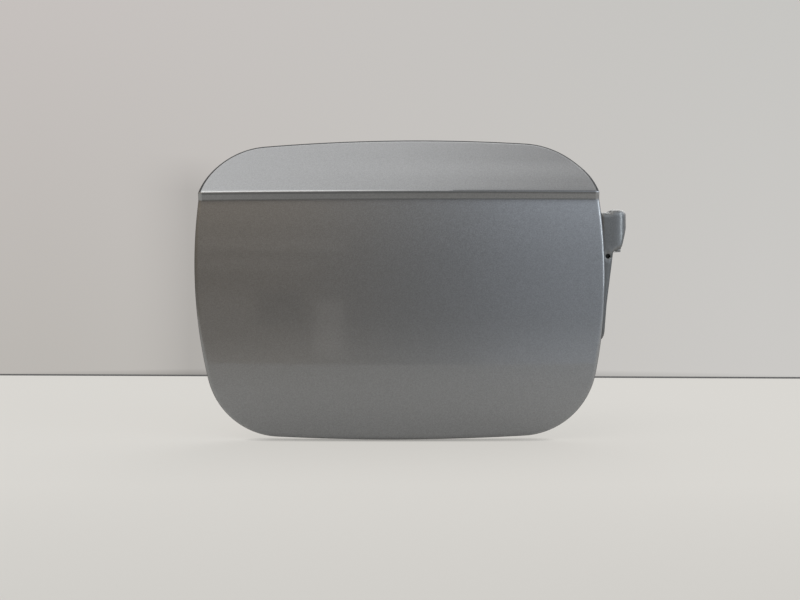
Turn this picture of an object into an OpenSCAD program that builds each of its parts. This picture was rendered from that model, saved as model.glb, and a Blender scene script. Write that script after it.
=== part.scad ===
// Car fuel door with its gooseneck hinge, spring, bracket and latch striker.
// X runs to the hinge side, Y into the car and Z up. The origin lies in the
// middle of the bracket's two screw holes, on the face that is bolted down.

/* [Outline of the door] */
// Half width to the right of the door's middle line
right_edge = 91; // [86:0.5:94]
// Half width to the left of the door's middle line
left_edge = 90.9; // [80:0.1:110]
// Height of the top edge above the datum line
top_edge = 71.3; // [66:0.1:80]
// Depth of the bottom edge below the datum line
bottom_edge = 65.6; // [62:0.1:80]
// Radius of the bowed right side
right_bow = 230; // [180:1:600]
// Radius of the bowed left side
left_bow = 229; // [180:1:600]
// Radius of the bowed top edge
top_bow = 830; // [500:5:3000]
// Radius of the bowed bottom edge
bottom_bow = 1145; // [500:5:3000]
// Corner radius, top right
corner_tr = 31.6; // [24:0.1:44]
// Corner radius, top left
corner_tl = 28.8; // [24:0.1:44]
// Corner radius, bottom left
corner_bl = 32.9; // [24:0.1:44]
// Corner radius, bottom right
corner_br = 33.9; // [24:0.1:44]

/* [Pressed form of the door] */
// Radius of the crown across the door
crown_across = 1300; // [900:10:4000]
// Radius of the crown up the main panel
crown_up = 900; // [700:10:4000]
// Height of the body crease above the datum line
crease_z = 43.1; // [38:0.1:48]
// Height of the undercut step below the crease
step_h = 3.4; // [2.8:0.1:6]
// How far the step is pressed in
step_d = 2.2; // [0.8:0.1:3]
// Angle by which the band above the crease leans back
band_lean = 40; // [15:1:45]
// Sheet thickness of the outer skin
skin_t = 0.8; // [0.6:0.05:1.2]
// Sheet thickness of the inner panel
inner_t = 0.7; // [0.5:0.05:1.2]
// Width of the skin's edge that is folded back over the inner panel
hem_w = 8; // [6:0.5:11]
// Depth of the inner panel's tray below the outer face
tray_d = 8; // [7:0.1:10]
// Distance from the door's edge to the foot of the tray's wall
tray_margin = 14.5; // [14:0.5:18]
// Width of the slanted wall round the tray
tray_draft = 3.5; // [2.5:0.1:5]

/* [Hinge arm] */
// Distance of the hinge pin from the door's middle line
pin_x = 97; // [96:0.1:102]
// Depth of the hinge pin behind the front of the main panel
pin_y = 13.4; // [13:0.1:20]
// Height of the middle of the pivot above the datum line
pin_z = 26.9; // [20:0.1:30]
// Sheet thickness of the hinge arm
arm_t = 1.4; // [1:0.1:1.8]
// Outer radius of the arm's nose round the pin
nose_r = 5.6; // [5.4:0.1:6.5]
// Clear height between the arm's two ears
arm_ear_gap = 16; // [14:0.1:22]
// Inner radius of the gooseneck's bend
neck_r = 3; // [2.5:0.1:3.2]
// Straight run of the gooseneck behind its bend
neck_run = 8.4; // [6:0.1:10]
// Depth of the flange along the gooseneck's upper and lower edge
neck_flange = 5.5; // [3:0.1:7]
// Height of the arm's upper edge above the datum line
arm_top = 35; // [31:0.1:35.5]
// Depth of the arm's lower edge below the datum line
arm_bottom = 24; // [15:0.5:30]
// Inner end of the foot that is screwed to the inner panel
foot_x = 44; // [38:0.5:50]

/* [Pivot] */
// Radius of the hinge pin
pin_r = 1.75; // [1.5:0.05:2]
// Wall of the two plastic bushes
bush_wall = 0.7; // [0.5:0.05:0.8]
// Radius of the bushes' flanges
bush_flange_r = 3.4; // [3:0.05:3.6]
// Thickness of the bushes' flanges
bush_flange_t = 0.5; // [0.4:0.05:0.8]
// Mean radius of the spring's coil
coil_r = 3; // [2.9:0.05:3.2]
// Radius of the spring's wire
wire_r = 0.45; // [0.35:0.05:0.5]
// Number of turns of the spring
coil_turns = 8; // [4:1:9]

/* [Bracket] */
// Sheet thickness of the bracket
bracket_t = 1.4; // [1:0.1:2]
// Radius of the bracket's ears round the pin
ear_r = 3.6; // [3.4:0.05:3.8]
// Distance of the mounting face beyond the pin's axis
face_x = 6.5; // [6:0.1:10]
// Distance of the middle of the screw holes behind the pin's axis
holes_y = 30; // [28:0.5:40]
// Spacing of the two screw holes
hole_spacing = 20; // [14:0.5:24]
// Radius of the screw holes
hole_r = 2.75; // [2:0.05:3.3]

/* [Fittings on the inner panel] */
// Radius of the screws that hold the arm
screw_r = 2.4; // [1.9:0.05:2.5]
// Width across the flats of the arm screws' heads
screw_af = 8; // [7:0.5:9]
// Radius of the rubber stops
stop_r = 6; // [5:0.1:7]
// Height of the rubber stops above the inner panel
stop_h = 6.5; // [4:0.1:9]
// Height of the latch striker above the inner panel
striker_h = 19; // [16:0.5:26]
// Width of the latch striker
striker_w = 18; // [16:0.5:24]
// Inner radius of the cradle that holds the filler cap
cradle_r = 12.5; // [9:0.5:14]
// Height of that cradle above the inner panel
cradle_h = 11; // [7:0.5:14]

/* [Clearances] */
// Space between the sheets in the folded edge
hem_gap = 0.05; // [0.03:0.01:0.1]
// Space under a flat piece on the crowned inner panel
seat_gap = 0.12; // [0.1:0.01:0.2]
// Running clearance of the pin in the bushes, on the radius
running_gap = 0.05; // [0.02:0.01:0.08]
// Clearance of pieces that are pressed together, on the radius
press_gap = 0.01; // [0.01:0.01:0.03]
// Play of the pivot along the pin, on each side
side_play = 0.06; // [0.04:0.01:0.2]

/* [Hidden] */
$fn = 48;

// Colours of the finishes
paint = [0.44, 0.45, 0.46];
primer = [0.52, 0.53, 0.54];
zinc = [0.72, 0.72, 0.68];
steel = [0.6, 0.61, 0.63];
rubber = [0.1, 0.1, 0.1];
plastic = [0.16, 0.16, 0.17];

// Far beyond the door on every side, for cutting shapes
reach = 120;
// Steps along the top edge, round each upper corner, and along each part of the lower half
bow_steps = 10;
corner_steps = 12;
low_steps = 7;
// Half length of the lines near the middle that the sheet's rings grow from
spine_x = 62;

// Foot of the step, and how far below it the main panel stands furthest forward
step_foot_z = crease_z - step_h;
belly_drop = 50;
belly_z = step_foot_z - belly_drop;
// Height of the band over which the layers behind it reach their full slant
band_blend = 14;
crown_turn = asin(reach / crown_across);

// Depths below the outer face of the layers in the folded edge
inner_front = skin_t + hem_gap;
inner_back = inner_front + inner_t;
return_front = inner_back + hem_gap;
return_back = return_front + skin_t;
tray_back = tray_d + inner_t;

// The door's own point of reference, seen from the mount
door_x = -face_x - pin_x;
door_y = -holes_y - pin_y;

// Heights in the pivot, measured from its middle
arm_ear_in = arm_ear_gap / 2;
arm_ear_out = arm_ear_in + arm_t;
bracket_ear_out = arm_ear_in - side_play - bush_flange_t;
bracket_ear_in = bracket_ear_out - bracket_t;
bush_r = pin_r + running_gap + bush_wall;
nose_in = nose_r - arm_t;

function unit(v) = v / norm(v);
function turned(a, b) = (b - a + 540) % 360 - 180;
function bearing(v) = atan2(v.y, v.x);
function backwards(list) = [for (i = [len(list) - 1:-1:0]) list[i]];

// Points of a round corner of radius r at v, between the lines to a and to b
function corner_arc(a, v, b, r, steps) =
    let (u = unit(a - v),
         w = unit(b - v),
         half = acos(u * w) / 2,
         centre = v + unit(u + w) * r / sin(half),
         start = bearing(v + u * r / tan(half) - centre),
         sweep = turned(start, bearing(v + w * r / tan(half) - centre)))
    [for (i = [0:steps]) centre + r * [cos(start + sweep * i / steps), sin(start + sweep * i / steps)]];

// A closed outline from corners [x, y, radius]; a radius of 0 keeps the corner sharp
function rounded(corners, steps = 6) =
    let (n = len(corners))
    [for (i = [0:n - 1])
        let (c = corners[i],
             v = [c.x, c.y],
             before = corners[(i + n - 1) % n],
             after = corners[(i + 1) % n])
        each (c[2] == 0
            ? [v]
            : corner_arc([before.x, before.y], v, [after.x, after.y], c[2], steps))];

// The four bowed sides as circles [x, z, radius], anticlockwise from the right
top_centre_x = 10;
right_centre_z = 8;
bottom_centre_x = -4;
left_centre_z = 14.4;
sides = [
    [right_edge - right_bow, right_centre_z, right_bow],
    [top_centre_x, top_edge - top_bow, top_bow],
    [left_bow - left_edge, left_centre_z, left_bow],
    [bottom_centre_x, bottom_bow - bottom_edge, bottom_bow]
];
corner_radii = [corner_tr, corner_tl, corner_bl, corner_br];

// Centre of the circle of radius r that touches sides a and b from within
function corner_centre(a, b, r) =
    let (p = [a.x, a.y],
         q = [b.x, b.y],
         ra = a[2] - r,
         rb = b[2] - r,
         d = norm(q - p),
         along = (ra * ra - rb * rb + d * d) / (2 * d),
         off = sqrt(ra * ra - along * along),
         u = (q - p) / d)
    p + along * u + off * [-u.y, u.x];
corner_centres = [for (i = [0:3]) corner_centre(sides[i], sides[(i + 1) % 4], corner_radii[i])];

function arc_points(centre, r, a0, a1, steps) =
    [for (i = [0:steps - 1])
        let (a = a0 + turned(a0, a1) * i / steps)
        centre + r * [cos(a), sin(a)]];

// Bearing at which a circle [x, z, radius] moved inwards by inset crosses a height
function crossing(circle_at, z, inset) = asin((z - circle_at.y) / (circle_at[2] - inset));
function corner_circle(i) = [corner_centres[i].x, corner_centres[i].y, corner_radii[i]];
function seam(i, k) = bearing(corner_centres[k] - [sides[i].x, sides[i].y]);
function round_part(circle_at, inset, a0, a1, steps) =
    arc_points([circle_at.x, circle_at.y], circle_at[2] - inset, a0, a1, steps);

// Half width at a height, on the bow or round the corner above it
function edge_x(z, inset, side) =
    let (bow = sides[side < 0 ? 2 : 0],
         turn = corner_circle(side < 0 ? 1 : 0),
         joint = seam(side < 0 ? 2 : 0, side < 0 ? 1 : 0),
         on_turn = z > bow.y + (bow[2] - inset) * sin(joint),
         c = on_turn ? turn : bow)
    c.x + side * (c[2] - inset) * cos(crossing(c, z, inset));

// The door's outline moved inwards, anticlockwise from the right end of the crease.
// Its first half runs over the top, and its second half, from the foot of the step,
// round the bottom. Both halves have the same number of points.
function stations(inset) = concat(
    [[edge_x(crease_z, inset, 1), crease_z]],
    [for (i = [1:corner_steps - 1])
        round_part(corner_circle(0), inset,
                   max(seam(0, 0), crossing(corner_circle(0), crease_z, inset)),
                   seam(1, 0), corner_steps)[i]],
    round_part(sides[1], inset, seam(1, 0), seam(1, 1), bow_steps),
    round_part(corner_circle(1), inset, seam(1, 1),
               min(seam(2, 1), 180 - crossing(corner_circle(1), crease_z, inset)), corner_steps),
    [[edge_x(crease_z, inset, -1), crease_z]],
    round_part(sides[2], inset, 180 - crossing(sides[2], step_foot_z, inset), seam(2, 2), low_steps),
    round_part(corner_circle(2), inset, seam(2, 2), seam(3, 2), low_steps),
    round_part(sides[3], inset, seam(3, 2), seam(3, 3), low_steps - 1),
    round_part(corner_circle(3), inset, seam(3, 3), seam(0, 3), low_steps),
    round_part(sides[0], inset, seam(0, 3), crossing(sides[0], step_foot_z, inset), low_steps),
    [[edge_x(step_foot_z, inset, 1), step_foot_z]]);
half_count = 2 * corner_steps + bow_steps + 1;

// Two level lines near the middle of the door that the rings grow from
function spine(low_z) = [
    for (i = [0:half_count - 1]) [spine_x * (1 - 2 * i / (half_count - 1)), crease_z],
    for (i = [0:half_count - 1]) [spine_x * (2 * i / (half_count - 1) - 1), low_z]
];

// Upright section of the pressed sheet at a depth below the outer face, as [y, z]
function mitre(v, n1, n2, depth) = v + depth * (n1 + n2) / (1 + n1 * n2);
function belly_point(z, depth) =
    let (phi = asin((z - belly_z) / crown_up))
    [crown_up - (crown_up - depth) * cos(phi), belly_z + (crown_up - depth) * sin(phi)];
function belly_normal(z) =
    let (phi = asin((z - belly_z) / crown_up))
    [cos(phi), -sin(phi)];

// Crowned sheet between two depths below the main panel's face
module plain_sheet(from, to) {
    heights = [-reach / 2:6:reach / 2];
    line = concat(
        [for (z = heights) belly_point(z, from)],
        backwards([for (z = heights) belly_point(z, to)]));
    translate([0, crown_across, 0])
        rotate([0, 0, -90 - crown_turn])
            rotate_extrude(angle = 2 * crown_turn, $fn = 720)
                polygon([for (p = line) [crown_across - p.x, p.y]]);
}

// Section point at one height: the band, the crease, the foot of the step, or the panel.
// Below the band's face a point also moves down, by the full slant from band_blend upwards.
function section_at(z, depth, press) =
    let (foot = belly_point(step_foot_z, 0),
         crease = press > 0 ? foot + [-press, step_h] : belly_point(crease_z, 0),
         n_step = press > 0 ? unit([step_h, press]) : belly_normal(crease_z),
         n_band = [cos(band_lean), -sin(band_lean)],
         lower = z - depth * sin(band_lean) * min(1, (z - crease_z) / band_blend),
         level = crease + depth * n_band)
    z > crease_z
        ? [level.x + (lower - level.y) * tan(band_lean), lower]
        : z == crease_z
            ? mitre(crease, n_step, n_band, depth)
            : z == step_foot_z && press > 0
                ? mitre(foot, belly_normal(step_foot_z), n_step, depth)
                : belly_point(z, depth);

// Point of the pressed sheet at [x, z] on the outer face and a depth below it
function sheet_point(p, depth, press) =
    let (face = section_at(p.y, 0, press),
         at = section_at(p.y, depth, press),
         turn = asin(p.x / (crown_across - face.x)),
         r = crown_across - at.x)
    [r * sin(turn), crown_across - r * cos(turn), at.y];

// A ring is [inset, share of the way from the spine, depth, press]
function ring_points(ring, low_z) =
    let (edge = stations(ring[0]),
         middle = spine(low_z))
    [for (i = [0:len(edge) - 1])
        let (p = middle[i] + (edge[i] - middle[i]) * ring[1])
        sheet_point([p.x, abs(p.y - crease_z) < 0.001 ? crease_z : p.y], ring[2], ring[3])];

// Body lofted through rings; a strip along the spine closes its first and last ring
module ring_loft(rings, low_z, closed = false) {
    n = 2 * half_count;
    last = (len(rings) - 1) * n;
    quads = [
        for (k = [0:len(rings) - (closed ? 1 : 2)])
            for (i = [0:n - 1])
                let (a = k * n,
                     b = (k + 1) % len(rings) * n,
                     j = (i + 1) % n)
                each [[a + i, b + i, b + j], [a + i, b + j, a + j]]
    ];
    strips = [
        for (i = [0:half_count - 2])
            let (j = n - 1 - i)
            each [
                [i, i + 1, j], [i + 1, j - 1, j],
                [last + i, last + j, last + i + 1], [last + i + 1, last + j, last + j - 1]
            ]
    ];
    polyhedron(
        points = [for (ring = rings) each ring_points(ring, low_z)],
        faces = closed ? quads : concat(quads, strips));
}

// Upright shape in X and Z, run through the whole depth of the door
module through(points) {
    translate([0, reach, 0])
        rotate([90, 0, 0])
            linear_extrude(2 * reach)
                polygon(points);
}

// Carries children from the door's datum to the bolted frame
module on_door() {
    translate([door_x, door_y, -pin_z]) children();
}

// Carries children from the pin's axis to the bolted frame
module on_pin() {
    translate([-face_x, -holes_y, 0]) children();
}

// Carries children to a point of the tray, then along its normal to a depth below the
// outer face; +Y points into the car
module on_panel(x, z, depth) {
    up = asin((z - belly_z) / (crown_up - tray_d));
    ring = crown_across - crown_up + (crown_up - tray_d) * cos(up);
    on_door()
        translate([0, crown_across, 0])
            rotate([0, 0, asin(x / ring)])
                translate([0, crown_up - crown_across, belly_z])
                    rotate([-up, 0, 0])
                        translate([0, depth - crown_up, 0])
                            children();
}

// Cylinder along +Y from the origin
module peg(r, h) {
    rotate([-90, 0, 0]) cylinder(r = r, h = h);
}

// Places of the fittings on the inner panel, as [x, z]
arm_screw_places = [[51, 22], [51, -12], [66, 5]];
stop_places = [[-63, 26], [-61, -33], [58, -35]];
striker_place = [-65, -4];
cap_place = [-6, 2];
cap_pin_spread = 21;
striker_rivet_spread = 6;
striker_rivet_x = 2;

// Hem seal
seal_w = 2;

// Arm: depths of the foot, and the plan of web and flanges seen from the pin
foot_front = tray_back + seat_gap;
foot_end_x = -22;
foot_back_y = foot_front + arm_t + 2.9 - pin_y;
neck_start = 1.5;
nose_end = 340;
flange_past_bend = 2.4;
notch_x = pin_x - 2.2;
lower_ear_r = 3.3;
nose_left = 7.8;
side_bend = 1.9;
lip_bend = 1.9;
edge_bend = 1.2;
lap = 0.02;
dimple_r = 1.1;
dimple_in = 3.8;

// Bracket
base_margin = 8;
neck_relief = 2;

// Spring: turns from the lower leg at the left to the upper leg at the back
coil_start = 180;
coil_sweep = 360 * coil_turns + 248;
coil_h = 2 * bracket_ear_in - 2 * wire_r - 0.8;
lower_leg = 12;
upper_leg_end = [-8, 7];
sleeve_r = coil_r - wire_r - 0.15;

striker_slot = 8;
striker_t = 1.5;
stop_hole_r = 3;
stop_stem_r = stop_hole_r - 0.05;
panel_screw_hole = screw_r + 0.35;
rivet_r = 1.6;
cap_pin_r = 2;

// Outer skin: crowned sheet with the crease, its edge rolled back into a flat hem
module outer_skin() {
    roll = return_back / 2;
    bend = (return_front - skin_t) / 2;
    field = [0, 0.3, 0.6, 0.85];
    end = hem_w + skin_t;
    front = [for (t = field) [end, t, 0, step_d]];
    back = [for (t = backwards(field)) [end, t, skin_t, step_d]];
    roll_out = [for (a = [0:30:180]) [roll * (1 - sin(a)), 1, roll * (1 - cos(a)), step_d]];
    roll_in = [for (a = [180:-60:0])
        [roll - bend * sin(a), 1, roll - bend * cos(a), step_d]];
    color(paint)
        on_door()
            ring_loft(concat(
                front, [[end, 1, 0, step_d]], roll_out,
                [[end, 1, return_back, step_d], [end, 1, return_front, step_d]],
                roll_in, [[end, 1, skin_t, step_d]], back), step_foot_z);
}

// Inner panel: flange in the hem, slanted wall, raised tray with holes for the fittings
module inner_panel() {
    start = skin_t + hem_gap + 0.3;
    wall_foot = tray_margin;
    wall_end = tray_margin + tray_draft;
    low_z = step_foot_z - 8;
    field = [for (i = [7:-1:0]) i / 7];
    rise = tray_d - inner_front;
    out = tan(atan2(rise, tray_draft) / 2);
    // One side of the sheet, from the edge to the middle, at a depth within it
    function side(d) = concat(
        [[start, 1, inner_front + d, step_d], [wall_foot - d * out, 1, inner_front + d, step_d]],
        [[wall_foot + tray_draft * 0.2 - d * out, 1, inner_front + rise * 0.12 + d, 0]],
        [[wall_foot + tray_draft * 0.8 - d * out, 1, inner_front + rise * 0.88 + d, 0]],
        [for (t = field) [wall_end - d * out, t, tray_d + d, 0]]);
    color(primer)
        difference() {
            on_door() ring_loft(concat(backwards(side(0)), side(inner_t)), low_z);
            for (p = arm_screw_places)
                on_panel(p.x, p.y, tray_d) translate([0, -3, 0]) peg(panel_screw_hole, 6);
            for (p = stop_places)
                on_panel(p.x, p.y, tray_d) translate([0, -3, 0]) peg(stop_hole_r, 6);
            for (side = [-1, 1]) {
                on_panel(striker_place.x, striker_place.y + side * striker_rivet_spread, tray_d)
                    translate([striker_rivet_x, -3, 0]) peg(rivet_r + press_gap, 6);
                on_panel(cap_place.x, cap_place.y, tray_d)
                    translate([side * cap_pin_spread, -3, 0]) peg(cap_pin_r + press_gap, 6);
            }
        }
}

// Hem seal: bead of sealer in the corner of the folded edge
module hem_seal() {
    start = skin_t + hem_w + hem_gap;
    low = inner_back + hem_gap / 2;
    color(primer)
        on_door()
            ring_loft([
                [start, 1, low, step_d],
                [start, 1, return_back, step_d],
                [start + seal_w * 0.6, 1, low + 0.5, step_d],
                [start + seal_w, 1, low, step_d]
            ], step_foot_z, true);
}

// Side wall of the nose and the bend of the gooseneck, seen from above with the pin
// at the origin
neck_bend = [-nose_left - neck_r, neck_start];
neck_back = neck_start + neck_r;
module web_plan() {
    translate([-nose_left, side_bend - nose_r - lap])
        square([arm_t, nose_r - side_bend + neck_start + 2 * lap]);
    // Bend round the gap that the edge of the car's panel moves into
    intersection() {
        translate(neck_bend)
            difference() {
                circle(neck_r + arm_t);
                circle(neck_r);
            }
        translate(neck_bend) square(neck_r + arm_t);
    }
    translate([neck_bend.x - neck_run, neck_back]) square([neck_run, arm_t]);
    // Ramp down to the foot
    polygon([
        [neck_bend.x - neck_run, neck_back],
        [neck_bend.x - neck_run, neck_back + arm_t],
        [foot_end_x, foot_back_y],
        [foot_end_x, foot_back_y - arm_t]
    ]);
}

// Section of the nose's sheet, as [radius, height], with a bend of radius lip at its
// upper edge, after which the sheet runs in to the radius run_in
module nose_section(top, run_in, lip) {
    polygon(concat(
        [[nose_r, -reach]],
        backwards(corner_arc([0, top], [nose_r, top], [nose_r, -reach], lip, 6)),
        run_in < nose_in
            ? [[run_in, top], [run_in, top - arm_t], [nose_in, top - arm_t]]
            : [[nose_in, top]],
        [[nose_in, -reach]]));
}

// Nose: round about the pin at its right, flat in front, bent back at its left
module nose(top, run_in, lip) {
    rotate([0, 0, 270]) rotate_extrude(angle = nose_end - 270) nose_section(top, run_in, lip);
    translate([side_bend - nose_left - lap, 0, 0])
        rotate([90, 0, 90])
            linear_extrude(nose_left - side_bend + 2 * lap)
                mirror([1, 0]) nose_section(top, run_in, lip);
    translate([side_bend - nose_left, side_bend - nose_r, 0])
        rotate([0, 0, 180])
            rotate_extrude(angle = 90)
                intersection() {
                    translate([side_bend - nose_r, 0]) nose_section(top, run_in, lip);
                    translate([0, -reach]) square(2 * reach);
                }
}

// Side view of the pressed arm in X and Z, from the foot to the nose
function arm_side() =
    let (lip = pin_z + arm_ear_out,
         low = pin_z - arm_ear_out,
         nose = pin_x + nose_r)
    rounded([
        [foot_x, arm_top - 9, 6],
        [foot_x + 18, arm_top, 8],
        [notch_x, arm_top, 0.8],
        [notch_x, lip, 0.5],
        [nose + 0.01, lip, 3.5],
        [nose + 0.01, pin_z + 3, 3],
        [nose - 3.2, low + 1.6, 2.6],
        [pin_x - 1.2, low, 0.5],
        [pin_x - 1.6, low - 0.8, 0.5],
        [pin_x - 4.6, low - 24, 3],
        [pin_x - 6, -arm_bottom, 6],
        [foot_x + 18, -arm_bottom, 8],
        [foot_x, 9 - arm_bottom, 6]
    ]);

// Flange behind the gooseneck's web, as a plan with the pin at the origin
module neck_flange_plan() {
    translate([neck_bend.x - neck_run, neck_back]) square([neck_run, neck_flange]);
    intersection() {
        translate(neck_bend) circle(neck_r + neck_flange);
        translate([neck_bend.x, neck_back]) square([flange_past_bend, neck_flange]);
    }
    polygon([
        [neck_bend.x - neck_run, neck_back],
        [neck_bend.x - neck_run, neck_back + neck_flange],
        [foot_end_x - 1, foot_back_y + 1.5],
        [foot_end_x, foot_back_y - arm_t]
    ]);
}

// Hinge arm: foot, ramp, gooseneck, and a nose with two ears round the pin
module hinge_arm() {
    color(paint)
        difference() {
            on_door() {
                // Web of the gooseneck and the nose's lower part, with the round upper edge
                intersection() {
                    translate([pin_x, pin_y, -arm_bottom]) linear_extrude(arm_bottom + arm_top) web_plan();
                    through(arm_side());
                }
                intersection() {
                    translate([pin_x, pin_y, 0]) nose(arm_top, nose_in, edge_bend);
                    through(arm_side());
                    translate([0, 0, -reach]) cube([notch_x + 0.2, reach, 2 * reach]);
                }
                // Right part of the nose, whose upper edge turns into the ear
                intersection() {
                    translate([pin_x, pin_y, 0]) nose(pin_z + arm_ear_out, pin_r, lip_bend);
                    through(arm_side());
                    translate([notch_x, 0, -reach]) cube([reach, reach, 2 * reach]);
                }
                // Foot, pressed to the crown of the inner panel
                intersection() {
                    plain_sheet(foot_front, foot_front + arm_t);
                    through(arm_side());
                    translate([foot_x - 1, -reach / 2, -reach / 2])
                        cube([pin_x + foot_end_x - foot_x + 1.5, reach, reach]);
                }
                // Rest of the upper ear, round the pin
                intersection() {
                    translate([pin_x, pin_y, pin_z + arm_ear_in]) {
                        cylinder(r = nose_r - lip_bend, h = arm_t);
                        intersection() {
                            cylinder(r = nose_r, h = arm_t);
                            translate([-nose_r, nose_r * sin(nose_end), 0])
                                cube([2 * nose_r, 2 * nose_r, arm_t]);
                        }
                    }
                    translate([notch_x, 0, pin_z]) cube(reach);
                    through(arm_side());
                }
                // Lower ear, smaller on the far side
                translate([pin_x, pin_y, pin_z - arm_ear_out]) {
                    cylinder(r = lower_ear_r, h = arm_t);
                    translate([-nose_left + 0.2, -nose_in - 0.2, 0])
                        cube([nose_left - 0.2, nose_in + 0.2 + neck_start, arm_t]);
                }
                for (z = [arm_top - arm_t, -arm_bottom])
                    translate([pin_x, pin_y, z]) linear_extrude(arm_t) neck_flange_plan();
            }
            on_pin()
                translate([0, 0, -reach / 2]) cylinder(r = pin_r + press_gap, h = reach);
            for (p = arm_screw_places)
                on_panel(p.x, p.y, foot_front) translate([0, -3, 0]) peg(panel_screw_hole, 6);
            // Dimple in the skirt under the nose
            on_door()
                translate([pin_x - dimple_in, pin_y - nose_r - 1, pin_z - arm_ear_out - 2 * dimple_r])
                    peg(dimple_r, 1 + arm_t * 0.7);
        }
}

// Three flanged hexagon screws that hold the arm's foot
module arm_screws() {
    head_h = 3.4;
    flange_h = 1;
    shank_in = 7.4;
    color(zinc)
        for (p = arm_screw_places)
            on_panel(p.x, p.y, foot_front + arm_t + hem_gap) {
                translate([0, -shank_in, 0]) peg(screw_r, shank_in);
                peg(screw_af * 0.68, flange_h);
                rotate([-90, 0, 0]) cylinder(r = screw_af / sqrt(3), h = head_h, $fn = 6);
            }
}

// Three weld nuts inside the tray
module weld_nuts() {
    nut_h = 4;
    color(zinc)
        for (p = arm_screw_places)
            on_panel(p.x, p.y, tray_d - nut_h - hem_gap)
                difference() {
                    peg(screw_r + 2.4, nut_h);
                    translate([0, -1, 0]) peg(screw_r + running_gap, nut_h + 2);
                }
}

// Hinge pin, set flush in the arm's two ears
module hinge_pin() {
    bevel = 0.3;
    color(steel)
        on_pin()
            rotate_extrude()
                polygon([
                    [0, -arm_ear_out],
                    [pin_r - bevel, -arm_ear_out],
                    [pin_r, bevel - arm_ear_out],
                    [pin_r, arm_ear_out - bevel],
                    [pin_r - bevel, arm_ear_out],
                    [0, arm_ear_out]
                ]);
}

// Flanged plastic bush, pressed into an ear of the bracket
module bush(side) {
    color(plastic)
        on_pin()
            mirror([0, 0, side < 0 ? 1 : 0])
                difference() {
                    union() {
                        translate([0, 0, bracket_ear_in]) cylinder(r = bush_r, h = bracket_t);
                        translate([0, 0, bracket_ear_out]) cylinder(r = bush_flange_r, h = bush_flange_t);
                    }
                    translate([0, 0, bracket_ear_in - 1])
                        cylinder(r = pin_r + running_gap, h = bracket_t + bush_flange_t + 2);
                }
}
module upper_bush() {
    bush(1);
}
module lower_bush() {
    bush(-1);
}

// Bracket: two ears on a base plate with the screw holes, bent from one sheet
module hinge_bracket() {
    height = 2 * bracket_ear_out;
    base_start = holes_y - hole_spacing / 2 - base_margin;
    base_len = hole_spacing + 2 * base_margin;
    neck_right = ear_r - neck_relief;
    color(zinc)
        on_pin()
            difference() {
                union() {
                    for (z = [-bracket_ear_out, bracket_ear_in])
                        translate([0, 0, z])
                            linear_extrude(bracket_t) {
                                circle(ear_r);
                                polygon([
                                    [-ear_r, 0],
                                    [neck_right, 0],
                                    [neck_right, base_start - 3],
                                    [face_x - 0.1, base_start],
                                    [face_x - 0.1, base_start + base_len - 12],
                                    [-ear_r, base_start + 4]
                                ]);
                            }
                    translate([face_x - bracket_t, base_start, -height / 2])
                        cube([bracket_t, base_len, height]);
                }
                for (side = [-1, 1])
                    translate([0, holes_y + side * hole_spacing / 2, 0])
                        rotate([0, 90, 0]) cylinder(r = hole_r, h = face_x + 1);
                translate([0, 0, -reach / 2]) cylinder(r = bush_r + press_gap, h = reach);
            }
}

// Point on the spring's wire, t running from the lower to the upper end of the coil
function coil_point(t) =
    let (a = coil_start + t * coil_sweep)
    [coil_r * cos(a), coil_r * sin(a), coil_h * (t - 0.5)];

// Tube of eight-sided rings along a line of points
module wire(line, r) {
    n = len(line);
    sides_n = 8;
    rings = [for (i = [0:n - 1])
        let (along = unit(line[min(i + 1, n - 1)] - line[max(i - 1, 0)]),
             out = unit(cross(along, [0, 0, 1])),
             up = cross(out, along))
        each [for (k = [0:sides_n - 1])
            line[i] + r * (cos(k * 360 / sides_n) * out + sin(k * 360 / sides_n) * up)]];
    polyhedron(
        points = rings,
        faces = concat(
            [[for (k = [0:sides_n - 1]) k]],
            [[for (k = [sides_n - 1:-1:0]) (n - 1) * sides_n + k]],
            [for (i = [0:n - 2]) for (k = [0:sides_n - 1])
                let (a = i * sides_n + k,
                     b = i * sides_n + (k + 1) % sides_n)
                [a, a + sides_n, b + sides_n, b]]));
}

// Torsion spring: a leg in the bracket, the coil round the pin, a leg behind the neck
module torsion_spring() {
    steps = 14 * coil_turns;
    coil = [for (i = [0:steps]) coil_point(i / steps)];
    leg_down = [-coil_r, lower_leg, -coil_h / 2];
    leg_up = [upper_leg_end.x, upper_leg_end.y, coil_h / 2];
    color(steel)
        on_pin()
            wire(concat([leg_down], coil, [leg_up]), wire_r);
}

// Plastic sleeve between the pin and the coil
module spring_sleeve() {
    color(plastic)
        on_pin()
            translate([0, 0, -bracket_ear_in + side_play])
                difference() {
                    cylinder(r = sleeve_r, h = 2 * (bracket_ear_in - side_play));
                    translate([0, 0, -1]) cylinder(r = pin_r + running_gap, h = arm_ear_gap);
                }
}

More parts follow.
